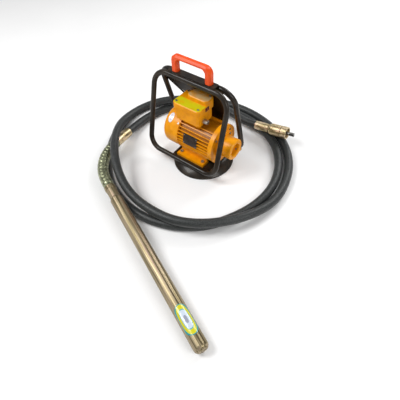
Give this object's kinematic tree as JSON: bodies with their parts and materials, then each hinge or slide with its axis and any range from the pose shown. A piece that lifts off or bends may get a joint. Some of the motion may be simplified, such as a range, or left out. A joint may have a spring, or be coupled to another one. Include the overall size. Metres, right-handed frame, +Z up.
{
  "type": "concrete vibrator",
  "caption": "Electric concrete vibrator: orange motor in a swivelling black tube cage with a carrying handle, a long coiled flexible-shaft hose and a plated steel poker.",
  "frame": {"origin": "centre of the base dish, at the floor", "axes": "+X along the motor shaft towards the output socket, +Z up the swivel axis, -Y towards the poker"},
  "size_m": [0.9983, 1.0781, 0.4566],
  "materials": {
    "black_painted_steel": "semi-gloss black paint with a brownish sheen",
    "orange_painted_casting": "glossy orange-yellow paint over cast aluminium",
    "red_orange_plastic": "moulded orange-red plastic, satin",
    "zinc_plated_steel": "yellow-passivated zinc plating, softly shiny",
    "plated_poker_steel": "ground steel tube with iridescent zinc plating, brushed lengthwise",
    "bright_steel": "machined steel, oiled",
    "laminated_steel": "stacked sheet steel",
    "enamelled_copper": "varnished copper wire",
    "black_plastic": "moulded black plastic",
    "black_rubber": "dark grey rubber with a fine fabric-marked surface",
    "dark_spring_steel": "darkened flat-strip spring steel with pale worn edges",
    "red_brown_plastic": "glossy reddish-brown plastic",
    "printed_sticker": "smooth printed film with plain colour fields"
  },
  "bodies": {
    "root": {"base_dish": "black_painted_steel", "thrust_ring": "black_plastic", "pivot_washer": "zinc_plated_steel", "pivot_bolt": "zinc_plated_steel", "shaft_hose": "black_rubber", "flexible_core": "bright_steel", "spring_guard": "dark_spring_steel", "hose_ferrule": "zinc_plated_steel", "poker_neck": "plated_poker_steel", "poker_tube": "plated_poker_steel", "poker_tip": "plated_poker_steel", "poker_bearings": "bright_steel", "poker_seal": "black_rubber", "poker_sticker": "printed_sticker", "coupling_sleeve": "zinc_plated_steel", "coupling_cup": "zinc_plated_steel"},
    "swivel": {"swivel_plate": "black_painted_steel", "front_hoop": "black_painted_steel", "rear_hoop": "black_painted_steel", "top_bar": "black_painted_steel", "back_panel": "black_painted_steel", "brace_rod": "black_painted_steel", "handle": "red_orange_plastic", "handle_screws": "zinc_plated_steel", "stator_housing": "orange_painted_casting", "stator_core": "laminated_steel", "stator_windings": "enamelled_copper", "foot_bolts": "zinc_plated_steel", "foot_nuts": "zinc_plated_steel", "front_end_shield": "orange_painted_casting", "rear_end_shield": "orange_painted_casting", "end_shield_screws": "zinc_plated_steel", "front_bearing": "bright_steel", "rear_bearing": "bright_steel", "fan_cover": "orange_painted_casting", "fan_cover_screws": "zinc_plated_steel", "output_socket": "orange_painted_casting", "socket_screws": "zinc_plated_steel", "latch_cap": "zinc_plated_steel", "latch_spring": "bright_steel", "terminal_box": "orange_painted_casting", "box_gasket": "black_rubber", "terminal_lid": "orange_painted_casting", "lid_screws": "zinc_plated_steel", "switch_body": "black_plastic", "cable_gland": "zinc_plated_steel", "capacitor": "black_plastic", "terminal_block": "black_plastic", "nameplate": "black_plastic", "cover_badge": "printed_sticker"},
    "rotor": {"rotor_shaft": "bright_steel", "rotor_core": "laminated_steel", "shaft_key": "bright_steel", "output_dog": "bright_steel", "cooling_fan": "black_plastic"},
    "rocker": {"switch_rocker": "red_brown_plastic"},
    "latch": {"latch_pin": "zinc_plated_steel"},
    "collar": {"coupling_collar": "zinc_plated_steel"},
    "drive_tip_body": {"drive_tip": "bright_steel"},
    "poker_rotor_body": {"poker_rotor": "bright_steel"}
  },
  "joints": [
    {"name": "plate_swivel", "type": "hinge", "parent": "root", "child": "swivel", "pos_m": [0, 0, 0.0422], "axis": [0, 0, 1], "continuous": true},
    {"name": "rotor_spin", "type": "hinge", "parent": "swivel", "child": "rotor", "pos_m": [0, 0, 0.138], "axis": [1, 0, 0], "continuous": true},
    {"name": "switch_rock", "type": "hinge", "parent": "swivel", "child": "rocker", "pos_m": [0.031, -0.012, 0.287], "axis": [0, 0, 1], "range_deg": [-9, 9]},
    {"name": "latch_push", "type": "slide", "parent": "swivel", "child": "latch", "axis": [0, -0.7986, 0.6018], "range_m": [0, 0.008]},
    {"name": "collar_turn", "type": "hinge", "parent": "root", "child": "collar", "pos_m": [0.097, 0.279, 0.049], "axis": [0.9886, 0.0247, 0.1483], "continuous": true},
    {"name": "drive_tip_spin", "type": "hinge", "parent": "root", "child": "drive_tip_body", "pos_m": [0.097, 0.279, 0.049], "axis": [0.9886, 0.0247, 0.1483], "continuous": true},
    {"name": "poker_rotor_spin", "type": "hinge", "parent": "root", "child": "poker_rotor_body", "pos_m": [-0.163, -0.402, 0.061], "axis": [-0.9298, 0.3646, 0.0508], "continuous": true}
  ],
  "couplings": [
    {"joint": "poker_rotor_spin", "follows": "drive_tip_spin", "ratio": 1}
  ]
}
